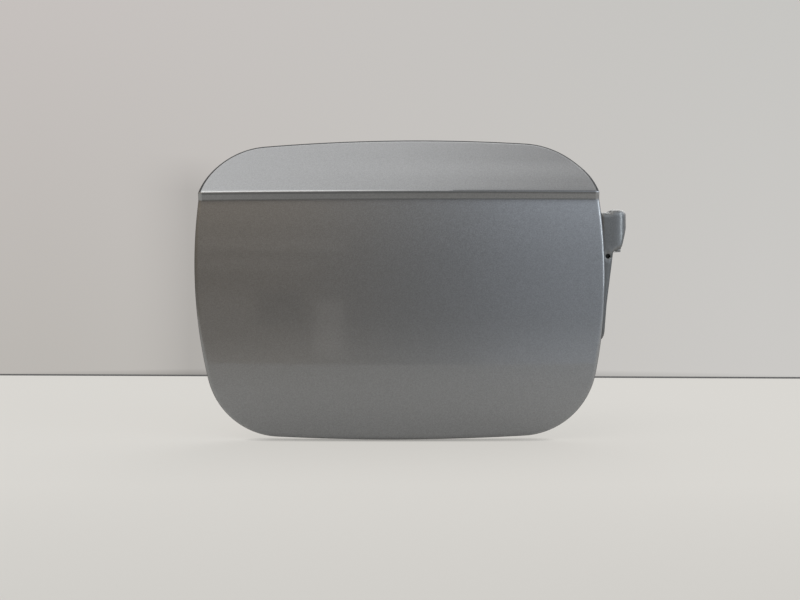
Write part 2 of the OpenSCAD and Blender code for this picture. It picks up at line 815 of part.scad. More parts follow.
// Latch striker: bent sheet with a slot for the lock's pin
module latch_striker() {
    base_w = 15;
    t = striker_t;
    leg_x = -base_w / 2;
    color(zinc)
        on_panel(striker_place.x, striker_place.y, tray_back + seat_gap)
            difference() {
                translate([0, 0, -striker_w / 2])
                    linear_extrude(striker_w)
                        polygon(rounded([
                            [leg_x, 0, 2.6],
                            [base_w / 2, 0, 0],
                            [base_w / 2, t, 0],
                            [leg_x + t, t, 1.1],
                            [leg_x + t, striker_h, 0],
                            [leg_x, striker_h, 0]
                        ]));
                translate([leg_x - 1, striker_h - 5 - striker_slot, 0])
                    rotate([0, 90, 0])
                        linear_extrude(t + 2)
                            translate([-striker_slot / 2, 0])
                                square(striker_slot);
                for (side = [-1, 1])
                    translate([striker_rivet_x, -1, side * striker_rivet_spread]) peg(rivet_r + press_gap, 4);
                // Rounded corners of the leg
                for (side = [-1, 1])
                    translate([leg_x - 1, striker_h - 4, side * (striker_w / 2 - 4)])
                        rotate([0, 90, 0])
                            linear_extrude(t + 2)
                                difference() {
                                    translate([side < 0 ? 0 : -5, 0]) square(5);
                                    circle(4);
                                }
            }
}

// Two domed rivets that hold the striker
module striker_rivets() {
    tail_r = rivet_r + 0.7;
    tail_h = 2;
    tail_end = inner_t + 2.5;
    color(zinc)
        for (side = [-1, 1])
            on_panel(striker_place.x, striker_place.y + side * striker_rivet_spread, tray_back + seat_gap)
                translate([striker_rivet_x, 0, 0]) {
                    translate([0, -tail_end, 0]) peg(rivet_r, tail_end + striker_t + 2 * press_gap);
                    translate([0, striker_t + press_gap, 0])
                        rivet_head(rivet_r * 1.75, rivet_r * 0.75);
                    translate([0, -tail_end, 0]) peg(tail_r, tail_h);
                }
}

// Low domed head on the +Y side
module rivet_head(r, h) {
    ball = (r * r + h * h) / (2 * h);
    rotate([-90, 0, 0])
        intersection() {
            translate([0, 0, h - ball]) sphere(ball);
            cylinder(r = r, h = h);
        }
}

// Rubber stop: domed head on the tray and a barbed stem through its hole
module rubber_stop(place) {
    color(rubber)
        on_panel(place.x, place.y, tray_back + seat_gap)
            rotate([-90, 0, 0])
                rotate_extrude()
                    polygon([
                        [0, -4.6],
                        [2.2, -4.6],
                        [3.9, -inner_t - 2 * seat_gap - 0.8],
                        [3.9, -inner_t - 2 * seat_gap],
                        [stop_stem_r, -inner_t - 2 * seat_gap],
                        [stop_stem_r, 0],
                        [stop_r, 0],
                        [stop_r, stop_h * 0.45],
                        [stop_r * 0.92, stop_h * 0.7],
                        [stop_r * 0.72, stop_h * 0.9],
                        [stop_r * 0.4, stop_h],
                        [0, stop_h]
                    ]);
}
module rubber_stop_1() {
    rubber_stop(stop_places[0]);
}
module rubber_stop_2() {
    rubber_stop(stop_places[1]);
}
module rubber_stop_3() {
    rubber_stop(stop_places[2]);
}

// Moulded cradle, open upwards, that holds the filler cap while filling
module cap_holder() {
    wall = 1.8;
    base_t = 1.8;
    color(plastic)
        on_panel(cap_place.x, cap_place.y, tray_back + 3 * seat_gap)
            difference() {
                union() {
                    rotate([90, 0, 0])
                        mirror([0, 0, 1])
                            linear_extrude(base_t)
                                polygon(rounded([
                                    [-cap_pin_spread - 5, -6, 4],
                                    [cap_pin_spread + 5, -6, 4],
                                    [cap_pin_spread + 5, 6, 4],
                                    [-cap_pin_spread - 5, 6, 4]
                                ]));
                    peg(cradle_r + wall, base_t);
                    difference() {
                        peg(cradle_r + wall, cradle_h);
                        translate([0, -1, 0]) peg(cradle_r, cradle_h + 2);
                        translate([-cradle_r * 0.8, -1, 0]) cube([cradle_r * 1.6, cradle_h + 2, reach]);
                    }
                    // Inner lip that catches the cap
                    difference() {
                        translate([0, cradle_h - 1.5, 0]) peg(cradle_r + wall, 1.5);
                        translate([0, cradle_h - 2.5, 0]) peg(cradle_r - 1, 4);
                        translate([-cradle_r * 0.8, cradle_h - 3, 0]) cube([cradle_r * 1.6, 5, reach]);
                    }
                }
                translate([0, -1, 0]) peg(cradle_r * 0.6, base_t + 2);
                for (side = [-1, 1])
                    translate([side * cap_pin_spread, -1, 0]) peg(cap_pin_r + press_gap, base_t + 2);
            }
}

// Two push pins that hold the cradle
module cap_holder_pins() {
    base_t = 1.8;
    tip = inner_t + 3;
    color(plastic)
        for (side = [-1, 1])
            on_panel(cap_place.x, cap_place.y, tray_back + 3 * seat_gap)
                translate([side * cap_pin_spread, 0, 0]) {
                    translate([0, -tip, 0]) peg(cap_pin_r, tip + base_t + 2 * press_gap);
                    translate([0, base_t + press_gap, 0]) rivet_head(cap_pin_r * 1.8, cap_pin_r * 0.7);
                }
}

outer_skin();
inner_panel();
hem_seal();
hinge_arm();
arm_screws();
weld_nuts();
hinge_pin();
upper_bush();
lower_bush();
hinge_bracket();
torsion_spring();
spring_sleeve();
latch_striker();
striker_rivets();
rubber_stop_1();
rubber_stop_2();
rubber_stop_3();
cap_holder();
cap_holder_pins();
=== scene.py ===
import math
import bpy
import numpy as np
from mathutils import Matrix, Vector


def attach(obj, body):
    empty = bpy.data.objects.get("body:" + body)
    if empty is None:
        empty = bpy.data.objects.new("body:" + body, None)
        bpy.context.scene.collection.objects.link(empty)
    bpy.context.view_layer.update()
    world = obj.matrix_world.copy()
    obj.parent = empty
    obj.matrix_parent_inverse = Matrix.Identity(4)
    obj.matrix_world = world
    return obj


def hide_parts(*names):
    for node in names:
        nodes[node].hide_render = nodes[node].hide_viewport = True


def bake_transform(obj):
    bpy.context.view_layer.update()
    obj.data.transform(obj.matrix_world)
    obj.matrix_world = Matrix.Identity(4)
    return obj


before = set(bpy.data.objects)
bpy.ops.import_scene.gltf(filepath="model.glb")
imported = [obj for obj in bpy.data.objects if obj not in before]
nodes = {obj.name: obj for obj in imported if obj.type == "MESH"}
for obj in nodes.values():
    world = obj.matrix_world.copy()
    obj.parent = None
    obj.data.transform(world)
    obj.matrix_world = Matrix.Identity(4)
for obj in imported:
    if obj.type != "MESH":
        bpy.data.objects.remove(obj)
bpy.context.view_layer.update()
MM = 0.001

# Sizes of the door, in mm from its datum, as in the part
RIGHT, LEFT, TOP, BOTTOM = 91.0, 90.9, 71.3, 65.6
RIGHT_BOW, TOP_BOW, LEFT_BOW, BOTTOM_BOW = 230, 830, 229, 1145
# Bowed sides as circles (x, z, radius): right, top, left, bottom
SIDES = [
    (RIGHT - RIGHT_BOW, 8, RIGHT_BOW), (10, TOP - TOP_BOW, TOP_BOW),
    (LEFT_BOW - LEFT, 14.4, LEFT_BOW), (-4, BOTTOM_BOW - BOTTOM, BOTTOM_BOW),
]
# Corner radii: top right, top left, bottom left, bottom right
CORNER_RADII = [31.6, 28.8, 32.9, 33.9]
# Radii of the crown across the door and up the main panel
ACROSS, UP = 1300.0, 900.0
# Height of the crease, height and depth of the step below it, slant of the band above it
CREASE, STEP_H, STEP_D, LEAN = 43.1, 3.4, 2.2, math.radians(40)
FOOT = CREASE - STEP_H
# Height at which the main panel stands furthest forward
BELLY = FOOT - 50
# Sheets of the skin and the inner panel, width of the folded edge and space in it
SKIN, INNER, HEM, GAP = 0.8, 0.7, 8.0, 0.05
BACK = SKIN * 2 + INNER + GAP * 2
ROLL = BACK / 2
# Height of the band over which the layers behind it reach their full slant
BLEND = 14.0
# Middle of the pivot, seen from the mount and from the door's datum, and that datum from the mount
PIN = np.array([-6.5, -30.0, 0.0])
PIN_FROM_DATUM = np.array([97.0, 13.4, 26.9])
DOOR = PIN - PIN_FROM_DATUM

# Width over which the face rounds off into the rolled edge
EASE = 2.0
# Share of the step's height below the short upright part under the crease, and that part's slant
UPRIGHT, UPRIGHT_SLANT = 0.83, 0.02
# Softness of the foot and of the crease on the outer face, and how it changes with depth
FOOT_SOFT, FOOT_SOFT_GAIN = 0.42, 0.1
CREASE_SOFT, CREASE_SOFT_LOSS, CREASE_SOFT_MIN = 0.5, 0.3, 0.16
# Crease and step lie this much higher than in the part, and a little more per mm to the right
LIFT, LIFT_ACROSS = 0.38, 0.0033
# Middle of the lifted stretch, its reach and the height over which the lift fades out
LIFT_MID, LIFT_REACH, LIFT_FADE = FOOT + 1.5, 19.2, 12


# Outline: bowed sides and round corners as circles (x, z, radius)
def corner(a, b, r):
    """Circle of radius r that touches the circles a and b from within."""
    p, q = np.array(a[:2]), np.array(b[:2])
    ra, rb = a[2] - r, b[2] - r
    d = np.linalg.norm(q - p)
    along = (ra * ra - rb * rb + d * d) / (2 * d)
    off = math.sqrt(ra * ra - along * along)
    u = (q - p) / d
    c = p + along * u + off * np.array([-u[1], u[0]])
    return (c[0], c[1], r)


CORNERS = [corner(SIDES[i], SIDES[(i + 1) % 4], CORNER_RADII[i]) for i in range(4)]


def bearing(side, turn):
    """Direction in which a corner's middle lies from a side's middle."""
    return math.atan2(turn[1] - side[1], turn[0] - side[0])


def station(circle, angle):
    """Station on the outline: its point and its outward direction."""
    n = np.array([math.cos(angle), math.sin(angle)])
    return np.concatenate([np.array(circle[:2]) + circle[2] * n, n])


def level_station(z, right):
    """Station where the outline, moved in by the roll, crosses a height."""
    side, turn = (SIDES[0], CORNERS[0]) if right else (SIDES[2], CORNERS[1])
    seam = bearing(side, turn)
    circle = turn if z > side[1] + (side[2] - ROLL) * math.sin(seam) else side
    a = math.asin((z - circle[1]) / (circle[2] - ROLL))
    return station(circle, a if right else math.pi - a)


def sweep(arcs, count):
    """Evenly spaced stations along arcs [(circle, from, to)]."""
    parts = []
    for circle, a, b in arcs:
        b = a + (b - a + math.pi) % (2 * math.pi) - math.pi
        parts.append((circle, a, b, abs(b - a) * (circle[2] - ROLL)))
    total = sum(part[3] for part in parts)
    out = []
    for k in range(count + 1):
        s = total * k / count
        for i, (circle, a, b, length) in enumerate(parts):
            if s <= length + 1e-9 or i == len(parts) - 1:
                out.append(station(circle, a + (b - a) * min(1, s / length)))
                break
            s -= length
    return np.array(out)


# Pressed surface
def unit(v):
    return v / np.linalg.norm(v)


def mitre(v, n1, n2, d):
    """Corner v between faces with normals n1 and n2, at depth d below both."""
    return v + d * (n1 + n2) / (1 + n1 @ n2)


# Foot and crease as (depth coordinate, height), and the inward normals of the three faces
foot_at = np.array([UP - math.sqrt(UP * UP - (FOOT - BELLY) ** 2), FOOT])
crease_at = foot_at + np.array([-STEP_D, STEP_H])
phi = math.asin((FOOT - BELLY) / UP)
n_belly = np.array([math.cos(phi), -math.sin(phi)])
n_step = unit(np.array([STEP_H, STEP_D]))
n_band = np.array([math.cos(LEAN), -math.sin(LEAN)])


def profile(z, d):
    """Depth coordinate of the sheet at its own height, with rounded foot and crease."""
    foot = mitre(foot_at, n_belly, n_step, d)
    crease = mitre(crease_at, n_step, n_band, d)
    panel = UP - np.sqrt((UP - d) ** 2 - (z - BELLY) ** 2)
    share = (z - foot[1]) / (crease[1] - foot[1])
    upright = 1 + (share - UPRIGHT) * UPRIGHT_SLANT
    step = foot[0] + (crease[0] - foot[0]) * np.minimum(share / UPRIGHT, upright)
    band = crease[0] + (z - crease[1]) * math.tan(LEAN)
    foot_soft = FOOT_SOFT + FOOT_SOFT_GAIN * d
    crease_soft = np.maximum(CREASE_SOFT_MIN, CREASE_SOFT - CREASE_SOFT_LOSS * d)
    low = (panel + step - np.sqrt((panel - step) ** 2 + foot_soft ** 2)) / 2
    return (low + band + np.sqrt((low - band) ** 2 + crease_soft ** 2)) / 2


def surface(x, z, d):
    """Points of the sheet for arrays of x, z on the outer face and a depth."""
    x, z = np.asarray(x, float), np.asarray(z, float)
    shift = np.where(z > CREASE, -d * math.sin(LEAN) * np.minimum(1, (z - CREASE) / BLEND), 0.0)
    shift = np.where(z < FOOT, -d * (z - BELLY) / UP, shift)
    own_z = z + shift
    turn = np.arcsin(x / (ACROSS - profile(z, 0.0)))
    r = ACROSS - profile(own_z, d)
    near = np.clip((LIFT_REACH - np.abs(z - LIFT_MID)) / LIFT_FADE, 0, 1)
    lift = (LIFT + LIFT_ACROSS * x) * near * near * (3 - 2 * near)
    return np.stack([r * np.sin(turn), ACROSS - r * np.cos(turn), own_z + lift], -1)


def surface_normal(x, z, d, front):
    reach = 0.02
    a = surface(x + reach, z, d) - surface(x - reach, z, d)
    b = surface(x, z + reach, d) - surface(x, z - reach, d)
    n = np.cross(a, b)
    n /= np.linalg.norm(n, axis=-1, keepdims=True)
    return n if front else -n


# Grid of stations: level rows across the door, its corners at mid turn
COLS, LOW, HIGH = 120, 44, 26
Z_LOW, Z_HIGH = FOOT - 3.0, CREASE + 1.6
# Level rows: each stretch's start and number of rows, closest at the foot and at the crease
STRETCHES = [(Z_LOW, 3), (FOOT - 1.2, 10), (FOOT + 1.2, 3), (CREASE - 0.8, 13), (CREASE + 0.8, 2)]
ends = [z for z, _ in STRETCHES[1:]] + [Z_HIGH]
strip_z = np.concatenate([np.linspace(z, end, n, endpoint=False)
                          for (z, n), end in zip(STRETCHES, ends)] + [[Z_HIGH]])

mid = [(bearing(SIDES[i], CORNERS[i]) + bearing(SIDES[(i + 1) % 4], CORNERS[i])) / 2 for i in range(4)]
mid[2] = sum(bearing(SIDES[i], CORNERS[2]) % (2 * math.pi) for i in (2, 3)) / 2


def side_arcs(lower, right):
    """Arcs from a level row's end to the middle of the corner below or above it."""
    i = (3 if lower else 0) if right else (2 if lower else 1)
    side = SIDES[0] if right else SIDES[2]
    seam = bearing(side, CORNERS[i])
    start = level_station(Z_LOW if lower else Z_HIGH, right)
    a = math.atan2(start[3], start[2])
    on_turn = abs(np.hypot(*(start[:2] - np.array(CORNERS[i][:2]))) - CORNERS[i][2]) < 1e-6
    if on_turn:
        return [(CORNERS[i], a, mid[i])]
    return [(side, a, seam), (CORNERS[i], seam, mid[i])]


def end_arcs(i, first, last):
    """Arcs along the bottom or top side i, between the middles of two corners."""
    a, b = bearing(SIDES[i], CORNERS[first]), bearing(SIDES[i], CORNERS[last])
    return [(CORNERS[first], mid[first], a), (SIDES[i], a, b), (CORNERS[last], b, mid[last])]


left_low = sweep(side_arcs(True, False), LOW)[::-1]
right_low = sweep(side_arcs(True, True), LOW)[::-1]
left_high = sweep(side_arcs(False, False), HIGH)
right_high = sweep(side_arcs(False, True), HIGH)
bottom_row = sweep(end_arcs(3, 2, 3), COLS)
top_row = sweep(end_arcs(1, 1, 0), COLS)
left_strip = np.array([level_station(z, False) for z in strip_z])
right_strip = np.array([level_station(z, True) for z in strip_z])

left_all = np.concatenate([left_low, left_strip[1:-1], left_high])
right_all = np.concatenate([right_low, right_strip[1:-1], right_high])
outline = np.concatenate([bottom_row, right_all[1:-1], top_row[::-1], left_all[1:-1][::-1]])


def inner_xz(stations, inset):
    return stations[..., :2] - inset * stations[..., 2:]


def coons(bottom, top, left, right):
    """Rows by columns of points inside four boundary lines."""
    rows, cols = len(left), len(bottom)
    u = np.linspace(0, 1, cols)[None, :, None]
    v = np.linspace(0, 1, rows)[:, None, None]
    ruled = (1 - v) * bottom[None] + v * top[None] + (1 - u) * left[:, None] + u * right[:, None]
    return ruled - ((1 - u) * (1 - v) * bottom[0] + u * (1 - v) * bottom[-1]
                    + (1 - u) * v * top[0] + u * v * top[-1])


def row(a, b, like):
    """Points from a to b, spaced in x as the points of another row."""
    share = (like[:, 0] - like[0, 0]) / (like[-1, 0] - like[0, 0])
    return a[None] + share[:, None] * (b - a)[None]


def field(inset):
    """Rows by columns of (x, z) for the whole face."""
    bottom, top = inner_xz(bottom_row, inset), inner_xz(top_row, inset)
    left, right = inner_xz(left_strip, inset), inner_xz(right_strip, inset)
    left[:, 1] = right[:, 1] = strip_z
    low_left, low_right = inner_xz(left_low, inset), inner_xz(right_low, inset)
    high_left, high_right = inner_xz(left_high, inset), inner_xz(right_high, inset)
    low_left[-1], low_right[-1] = left[0], right[0]
    high_left[0], high_right[0] = left[-1], right[-1]
    levels = []
    for k, m in enumerate(np.linspace(0, 1, len(strip_z))):
        a, b = row(left[k], right[k], bottom), row(left[k], right[k], top)
        levels.append(a * (1 - m) + b * m)
    lower = coons(bottom, levels[0], low_left, low_right)
    upper = coons(levels[-1], top, high_left, high_right)
    return np.concatenate([lower, np.array(levels[1:-1]), upper])


# Paint slots of the skin: the face's own paint, then painted shade on the rolled edge, in the folds and on
# the step
FACE_PAINT, PAINTED_RIM_SHADE, PAINTED_FOLD_SHADE, PAINTED_STEP_SHADE = range(4)
# Rings of the rolled edge that carry the painted dark shade of the rim, counted from the front
RIM_TOP, RIM_LOW, RIM_END = 2, 7, 15
# Heights of the face's rows under the crease, at the foot, between them and on the crease itself, which take
# painted shade
UNDER_CREASE, AT_FOOT = (CREASE - 1.15, CREASE - 0.35), (FOOT - 0.55, FOOT + 0.35)
ON_STEP, ON_CREASE = (FOOT, CREASE - 0.5), (CREASE - 0.4, CREASE + 0.2)
# To the right of this place the crease takes the darker fold paint too: painted shade over its highlight
SHADED_CREASE_FROM = 22
# Rounding of the free edge of the return behind the face, and how far in its middle lies
END_R, END_MID = 0.25, 0.07


def row_slots():
    """Slots of the face's rows left and right of where the crease starts to take painted shade: painted
    shade in the folds and on the step, and on the crease on the right.
    """
    def within(z, stretch):
        return stretch[0] < z < stretch[1]
    left = np.full(LOW + len(strip_z) + HIGH, FACE_PAINT)
    right = left.copy()
    for k in range(len(strip_z) - 1):
        z = (strip_z[k] + strip_z[k + 1]) / 2
        if within(z, UNDER_CREASE) or within(z, AT_FOOT):
            left[LOW + k] = right[LOW + k] = PAINTED_FOLD_SHADE
        elif within(z, ON_STEP):
            left[LOW + k] = right[LOW + k] = PAINTED_STEP_SHADE
        if within(z, ON_CREASE):
            right[LOW + k] = PAINTED_FOLD_SHADE
    return left, right


def new_object(name, verts, faces, normals=None, smooth=True):
    mesh = bpy.data.meshes.new(name)
    mesh.from_pydata([tuple(v) for v in np.asarray(verts) * MM], [], faces)
    mesh.polygons.foreach_set("use_smooth", [smooth] * len(faces))
    mesh.validate()
    if normals is not None:
        mesh.normals_split_custom_set_from_vertices([tuple(n) for n in normals])
    mesh.update()
    ob = bpy.data.objects.new(name, mesh)
    bpy.context.scene.collection.objects.link(ob)
    return ob


def grid_loop(rows, cols, start):
    """Indices round the border of a grid of vertices, and those of the whole grid."""
    grid = np.arange(rows * cols).reshape(rows, cols) + start
    border = np.concatenate([grid[0], grid[1:-1, -1], grid[-1][::-1], grid[1:-1, 0][::-1]])
    return border, grid


def ring_points(rings):
    """Points of the rings (inset, depth) that run round the outline."""
    out = []
    for inset, depth in rings:
        xz = inner_xz(outline, inset)
        out.append(surface(xz[:, 0], xz[:, 1], depth))
    return np.array(out)


def edge_rings():
    """Rings of the rolled edge and of the return behind it, from the front."""
    end, quarter = HEM + SKIN, math.pi / 2
    rings = [(EASE * (1 - math.sin(a)), ROLL * (1 - math.cos(a))) for a in np.linspace(0, quarter, 12)]
    rings += [(ROLL * (1 - math.sin(a)), ROLL * (1 - math.cos(a)))
              for a in np.linspace(quarter, math.pi, 7)[1:]]
    rings += [(inset, BACK) for inset in np.linspace(ROLL, end - END_R, 5)]
    return rings + [(end - END_MID, BACK - END_MID), (end, BACK - END_R), (end, BACK - SKIN)]


def build_skin():
    verts, norms, faces, slots = [], [], [], []

    def add_face(corners, slot=FACE_PAINT):
        faces.append(tuple(int(i) for i in corners))
        slots.append(int(slot))

    def add_field(inset, depth, front):
        """Add the points of the whole face at a depth. Return their (x, z), border and indices."""
        start = sum(len(v) for v in verts)
        xz = field(inset)
        verts.append(surface(xz[..., 0], xz[..., 1], depth).reshape(-1, 3))
        norms.append(surface_normal(xz[..., 0], xz[..., 1], depth, front).reshape(-1, 3))
        return xz, *grid_loop(*xz.shape[:2], start)

    def ring_ids(start, count):
        return [start + k * size + np.arange(size) for k in range(count)]

    size = len(outline)
    face_xz, loop, grid = add_field(EASE, 0.0, True)
    rows, cols = grid.shape
    left_slots, right_slots = row_slots()
    for r in range(rows - 1):
        for c in range(cols - 1):
            slot = (right_slots if face_xz[r, c, 0] > SHADED_CREASE_FROM else left_slots)[r]
            add_face((grid[r, c], grid[r, c + 1], grid[r + 1, c + 1], grid[r + 1, c]), slot)

    points = ring_points(edge_rings())
    along = np.roll(points, -1, 1) - np.roll(points, 1, 1)
    n = np.cross(along, np.gradient(points, axis=0))
    n /= np.linalg.norm(n, axis=-1, keepdims=True)
    if np.sum(n[0] * norms[0][loop]) < 0:
        n = -n
    ids = [loop] + ring_ids(len(verts[0]), len(points) - 1)
    verts.append(points[1:].reshape(-1, 3))
    norms.append(n[1:].reshape(-1, 3))
    for k, (a, b) in enumerate(zip(ids, ids[1:])):
        for i in range(size):
            j = (i + 1) % size
            # These rings of the rolled edge take painted shade instead of the face's paint
            rim = (RIM_TOP if outline[i, 1] > CREASE else RIM_LOW) <= k < RIM_END
            add_face((a[i], b[i], b[j], a[j]), PAINTED_RIM_SHADE if rim else FACE_PAINT)

    _, back_loop, grid = add_field(HEM + SKIN, SKIN, False)
    for r in range(rows - 1):
        for c in range(cols - 1):
            add_face((grid[r, c], grid[r + 1, c], grid[r + 1, c + 1], grid[r, c + 1]))

    bend = ROLL - SKIN
    inner = ring_points([(ROLL - bend * math.sin(a), ROLL + bend * math.cos(a))
                         for a in np.linspace(0, math.pi, 5)])
    ids = [ids[-1]] + ring_ids(sum(len(v) for v in verts), len(inner)) + [back_loop]
    verts.append(inner.reshape(-1, 3))
    norms.append(np.tile([0.0, 1.0, 0.0], (len(verts[-1]), 1)))
    for a, b in zip(ids, ids[1:]):
        for i in range(size):
            j = (i + 1) % size
            add_face((a[i], b[i], b[j], a[j]))

    ob = new_object("skin_sheet", np.concatenate(verts) + DOOR, faces, np.concatenate(norms))
    ob.data.polygons.foreach_set("material_index", slots)
    return ob


skin = build_skin()


# Shader nodes
def feed(tree, node, inputs):
    """Set a node's inputs from values, or link them from sockets."""
    for key, value in inputs.items():
        socket = node.inputs[key]
        if isinstance(value, bpy.types.NodeSocket):
            tree.links.new(value, socket)
        elif socket.type == "RGBA":
            socket.default_value = (*value, 1)
        else:
            socket.default_value = value
    return node


def put(tree, kind, inputs=None, **settings):
    """Add a node with these settings and inputs."""
    node = tree.nodes.new("ShaderNode" + kind)
    for key, value in settings.items():
        setattr(node, key, value)
    return feed(tree, node, inputs or {})


def ramp(tree, source, stops):
    """Colour ramp with stops [(place, colour)] over a value."""
    node = put(tree, "ValToRGB", {"Fac": source})
    elements = node.color_ramp.elements
    for element, (place, color) in zip(elements, (stops[0], stops[-1])):
        element.position = place
        element.color = (*color, 1)
    for place, color in stops[1:-1]:
        elements.new(place).color = (*color, 1)
    return node.outputs["Color"]


def grey(v, tint=(1, 1, 1)):
    return tuple(v * t for t in tint)


def material(name):
    mat = bpy.data.materials.new(name)
    mat.use_nodes = True
    return mat, mat.node_tree, mat.node_tree.nodes["Principled BSDF"]


# Flakes of the paint: how fine, darkest and brightest share of the tone, and how much they lean
FLAKE_SCALE, FLAKE_DARK, FLAKE_BRIGHT, FLAKE_TILT = 3300, 0.9, 1.12, 0.05
PAINT_TINT, ARM_TINT = (0.985, 1.0, 1.01), (0.985, 1.0, 0.98)


def car_paint(name, base, gloss=0.04, rough=0.32, coat=1.0, edge_radius=0.0):
    """Metallic paint under a clear coat. Edges are shaded round with a radius in m, if one is given."""
    mat, tree, shader = material(name)
    spot = put(tree, "TexCoord").outputs["Object"]
    flakes = put(tree, "TexVoronoi", {"Vector": spot, "Scale": FLAKE_SCALE}).outputs["Color"]
    red = put(tree, "SeparateColor", {"Color": flakes}).outputs["Red"]
    tone = ramp(tree, red, [(0.0, grey(FLAKE_DARK, base)), (1.0, grey(FLAKE_BRIGHT, base))])
    half = put(tree, "VectorMath", {0: flakes, 1: (0.5, 0.5, 0.5)}, operation="SUBTRACT")
    tilt = put(tree, "VectorMath", {0: half.outputs["Vector"], "Scale": FLAKE_TILT}, operation="SCALE")
    if edge_radius:
        flat = put(tree, "Bevel", {"Radius": edge_radius}, samples=8).outputs["Normal"]
        feed(tree, shader, {"Coat Normal": flat})
    else:
        flat = put(tree, "NewGeometry").outputs["Normal"]
    leaning = put(tree, "VectorMath", {0: flat, 1: tilt.outputs["Vector"]}, operation="ADD")
    normal = put(tree, "VectorMath", {0: leaning.outputs["Vector"]}, operation="NORMALIZE")
    feed(tree, shader, {
        "Base Color": tone, "Normal": normal.outputs["Vector"], "Metallic": 0.88, "Roughness": rough,
        "Coat Weight": coat, "Coat Roughness": gloss, "Coat IOR": 1.5,
    })
    return mat


def plain(name, lo, hi, rough, metal=0.0, scale=900, bump=0.0, specular=0.5):
    """Even finish whose tone, and relief if bump is given, follow a fine noise."""
    mat, tree, shader = material(name)
    spot = put(tree, "TexCoord").outputs["Object"]
    noise = put(tree, "TexNoise", {"Vector": spot, "Scale": scale, "Detail": 3.0}).outputs["Fac"]
    feed(tree, shader, {
        "Base Color": ramp(tree, noise, [(0.3, lo), (0.7, hi)]), "Metallic": metal, "Roughness": rough,
        "Specular IOR Level": specular,
    })
    if bump:
        relief = put(tree, "Bump", {"Strength": bump, "Distance": 0.0002, "Height": noise})
        feed(tree, shader, {"Normal": relief.outputs["Normal"]})
    return mat


paint = car_paint("Grey metallic paint", grey(0.2, PAINT_TINT))
inner_paint = car_paint("Inner side paint", grey(0.2, PAINT_TINT), 0.15, 0.45)
# Near-black paint on the rolled edge: painted shade along the outline
painted_rim_shade = plain("Painted shade on the edge", grey(0.05), grey(0.06), 0.85, specular=0.1)
# The arm's paint is a darker copy of the door's paint: painted shade on the arm
shaded_arm_paint = car_paint("Arm paint with painted shade", grey(0.132, ARM_TINT), 0.14, 0.38, 0.7, 0.003)
# Darker copy of the face's paint on the step: painted shade
painted_step_shade = car_paint("Painted shade on the step", grey(0.155, PAINT_TINT), 0.1)
# Darker, duller copy of the face's paint: painted shade in the folds
painted_fold_shade = car_paint("Painted shade in the folds", grey(0.11, PAINT_TINT), 0.15, 0.4, 0.4)
sealer = plain("Seam sealer", grey(0.2), grey(0.25), 0.55, 0.0, 600, 0.4)
zinc = plain("Zinc plate", (0.5, 0.5, 0.47), (0.62, 0.61, 0.57), 0.34, 0.95, 700, 0.1)
steel = plain("Spring steel", grey(0.32), grey(0.42), 0.3, 1.0, 900, 0.1)
rubber = plain("Black rubber", grey(0.018), grey(0.03), 0.62, 0.0, 1100, 0.3)
plastic = plain("Black plastic", grey(0.028), grey(0.04), 0.42, 0.0, 1300, 0.2)

FINISH = {
    "inner_panel": inner_paint, "hem_seal": sealer, "hinge_arm": shaded_arm_paint, "arm_screws": zinc,
    "weld_nuts": zinc, "hinge_pin": steel, "upper_bush": plastic, "lower_bush": plastic,
    "hinge_bracket": zinc, "torsion_spring": steel, "spring_sleeve": plastic, "latch_striker": zinc,
    "striker_rivets": zinc, "rubber_stop_1": rubber, "rubber_stop_2": rubber, "rubber_stop_3": rubber,
    "cap_holder": plastic, "cap_holder_pins": plastic, "outer_skin": paint,
}
for name, mat in FINISH.items():
    ob = nodes[name]
    ob.data.materials.clear()
    ob.data.materials.append(mat)

for mat in (paint, painted_rim_shade, painted_fold_shade, painted_step_shade):
    skin.data.materials.append(mat)
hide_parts("outer_skin")
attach(skin, "door")

# Spring wire as a smooth tube, in mm from the middle of the pivot
COIL_R, WIRE_R, TURNS = 3.0, 0.45, 8
# Place of the coil's lower end and turn of the whole coil, in degrees
COIL_FROM, COIL_SWEEP = 180, 360 * TURNS + 248
# Width inside the arm's ears, play and bush flange on each side, bracket's sheet, space left to the coil
ARM_GAP, PLAY, FLANGE_T, BRACKET_T, SPARE = 16, 0.06, 0.5, 1.4, 0.8
COIL_H = 2 * (ARM_GAP / 2 - PLAY - FLANGE_T - BRACKET_T) - 2 * WIRE_R - SPARE
LOWER_LEG, UPPER_LEG_END = 12.0, (-8.0, 7.0)
LEG_STEPS, TURN_STEPS, WIRE_SIDES = 8, 44, 14


def spring_line():
    """Middle line of the wire: lower leg, coil, upper leg."""
    line = [np.array([-COIL_R, LOWER_LEG * (1 - k / LEG_STEPS), -COIL_H / 2]) for k in range(LEG_STEPS)]
    steps = TURN_STEPS * TURNS
    for i in range(steps + 1):
        a = math.radians(COIL_FROM + COIL_SWEEP * i / steps)
        line.append(np.array([COIL_R * math.cos(a), COIL_R * math.sin(a), COIL_H * (i / steps - 0.5)]))
    last, end = line[-1], np.array([*UPPER_LEG_END, COIL_H / 2])
    return line + [last + (end - last) * k / LEG_STEPS for k in range(1, LEG_STEPS + 1)]


